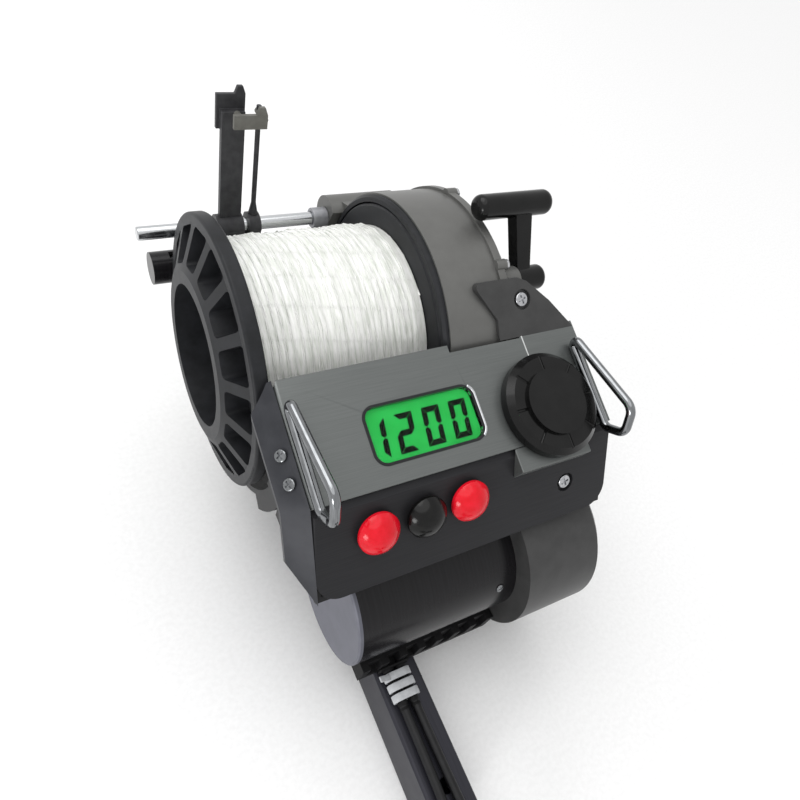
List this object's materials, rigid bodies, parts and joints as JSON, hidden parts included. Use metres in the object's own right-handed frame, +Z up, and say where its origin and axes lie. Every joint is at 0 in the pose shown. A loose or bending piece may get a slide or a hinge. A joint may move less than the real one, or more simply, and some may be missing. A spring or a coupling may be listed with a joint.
{
  "type": "electric fishing reel",
  "caption": "boat-mounted electric fishing reel with a wound spool, level-wind line guide, display panel with push buttons and speed knob, drag lever, motor and mounting bar",
  "frame": {"origin": "on the bottom face of the mounting bar, on its middle line, straight below the spool axis", "axes": "+Z up, +Y away from the angler and towards the line guide, +X along the spool axis from the open flange to the gear housing"},
  "size_m": [0.216, 0.5223, 0.2408],
  "materials": {
    "black_casting": "satin",
    "grey_casting": "satin",
    "bright_metal": "polished",
    "panel_grey": "satin",
    "panel_dark": "satin",
    "motor_black": "gloss",
    "light_grey": "satin",
    "red_cap": "gloss",
    "black_cap": "gloss",
    "display_glass": "clear",
    "display_body": "satin",
    "board_green": "satin",
    "gear_steel": "ground",
    "line_clear": "gloss",
    "lead_rubber": "matte",
    "tie_grey": "matte",
    "magnet_dark": "matte",
    "soft_black": "matte"
  },
  "bodies": {
    "frame": {"gear_housing": "grey_casting", "mouth_ring": "bright_metal", "right_cover": "grey_casting", "cover_screws": "bright_metal", "spool_bearings": "gear_steel", "gear_case": "grey_casting", "gear_case_outer": "grey_casting", "worm_tube": "black_casting", "guide_rod": "bright_metal", "rod_collar": "light_grey", "box_shell": "panel_dark", "upper_panel": "panel_grey", "lower_panel": "panel_dark", "side_cover": "panel_grey", "box_screws": "bright_metal", "arm_block": "panel_grey", "knob_ledge": "black_casting", "lcd_bezel": "black_casting", "lcd_window": "display_glass", "lcd_module": "display_body", "circuit_board": "board_green", "button_switches": "black_casting", "potentiometer": "black_casting", "panel_loops": "bright_metal", "motor_tube": "motor_black", "motor_end_disc": "light_grey", "motor_magnets": "magnet_dark", "rear_shell": "black_casting", "foot_clamp": "black_casting", "foot_bolts": "bright_metal", "mounting_bar": "panel_dark", "bar_plugs": "black_casting", "lead_gland": "lead_rubber", "power_lead_left": "lead_rubber", "power_lead_right": "lead_rubber", "lead_coil_left": "lead_rubber", "lead_coil_right": "lead_rubber", "lead_plugs": "lead_rubber", "lead_ties": "tie_grey"},
    "spool_body": {"spool": "black_casting", "spool_shaft": "gear_steel", "line_packing": "line_clear", "line_winding": "line_clear"},
    "output_gears": {"output_gear_shaft": "gear_steel"},
    "middle_gears": {"middle_gear_shaft": "gear_steel"},
    "rotor": {"motor_rotor": "gear_steel"},
    "worm": {"worm_shaft": "gear_steel"},
    "idler": {"worm_idler": "gear_steel"},
    "drag": {"drag_ring": "gear_steel"},
    "lever": {"drag_lever": "black_casting", "lever_grip": "soft_black", "lever_shaft": "gear_steel"},
    "guide": {"guide_carriage": "black_casting", "guide_blade": "black_casting", "guide_post": "black_casting", "guide_front_plate": "light_grey"},
    "knob": {"speed_knob": "black_casting"},
    "button_a": {"button_left": "red_cap"},
    "button_b": {"button_middle": "black_cap"},
    "button_c": {"button_right": "red_cap"}
  },
  "joints": [
    {"name": "spool_turn", "type": "hinge", "parent": "frame", "child": "spool_body", "pos_m": [-0.017, 0, 0.144], "axis": [1, 0, 0], "continuous": true},
    {"name": "output_gear_turn", "type": "hinge", "parent": "frame", "child": "output_gears", "pos_m": [0.073, -0.04015, 0.08666], "axis": [1, 0, 0], "continuous": true},
    {"name": "middle_gear_turn", "type": "hinge", "parent": "frame", "child": "middle_gears", "pos_m": [0.093, -0.09413, 0.0852], "axis": [1, 0, 0], "continuous": true},
    {"name": "motor_turn", "type": "hinge", "parent": "frame", "child": "rotor", "pos_m": [0.023, -0.131, 0.076], "axis": [1, 0, 0], "continuous": true},
    {"name": "worm_turn", "type": "hinge", "parent": "frame", "child": "worm", "pos_m": [-0.007, 0.0855, 0.1263], "axis": [1, 0, 0], "continuous": true},
    {"name": "idler_turn", "type": "hinge", "parent": "frame", "child": "idler", "pos_m": [0.061, 0.06065, 0.12356], "axis": [1, 0, 0], "continuous": true},
    {"name": "lever_turn", "type": "hinge", "parent": "frame", "child": "lever", "pos_m": [0.103, -0.02991, 0.20171], "axis": [1, 0, 0], "range_deg": [0, 75]},
    {"name": "drag_ring_turn", "type": "hinge", "parent": "frame", "child": "drag", "pos_m": [0.071, 0, 0.144], "axis": [1, 0, 0], "range_deg": [-12.1, 0.1]},
    {"name": "guide_slide", "type": "slide", "parent": "frame", "child": "guide", "axis": [1, 0, 0], "range_m": [-0.036, 0.035]},
    {"name": "knob_turn", "type": "hinge", "parent": "frame", "child": "knob", "pos_m": [0.083, -0.10383, 0.18504], "axis": [0, -0.309, 0.9511], "range_deg": [0, 270]},
    {"name": "button_left_press", "type": "slide", "parent": "frame", "child": "button_a", "axis": [0, 0.8181, -0.575], "range_m": [0, 0.002], "stiffness_N_per_m": 800},
    {"name": "button_middle_press", "type": "slide", "parent": "frame", "child": "button_b", "axis": [0, 0.8181, -0.575], "range_m": [0, 0.002], "stiffness_N_per_m": 800},
    {"name": "button_right_press", "type": "slide", "parent": "frame", "child": "button_c", "axis": [0, 0.8181, -0.575], "range_m": [0, 0.002], "stiffness_N_per_m": 800}
  ],
  "couplings": [
    {"joint": "output_gear_turn", "follows": "spool_turn", "ratio": -4},
    {"joint": "middle_gear_turn", "follows": "spool_turn", "ratio": 14},
    {"joint": "motor_turn", "follows": "spool_turn", "ratio": -39.2},
    {"joint": "idler_turn", "follows": "spool_turn", "ratio": -7},
    {"joint": "worm_turn", "follows": "spool_turn", "ratio": 3.2941},
    {"joint": "drag_ring_turn", "follows": "lever_turn", "ratio": -0.16071}
  ]
}
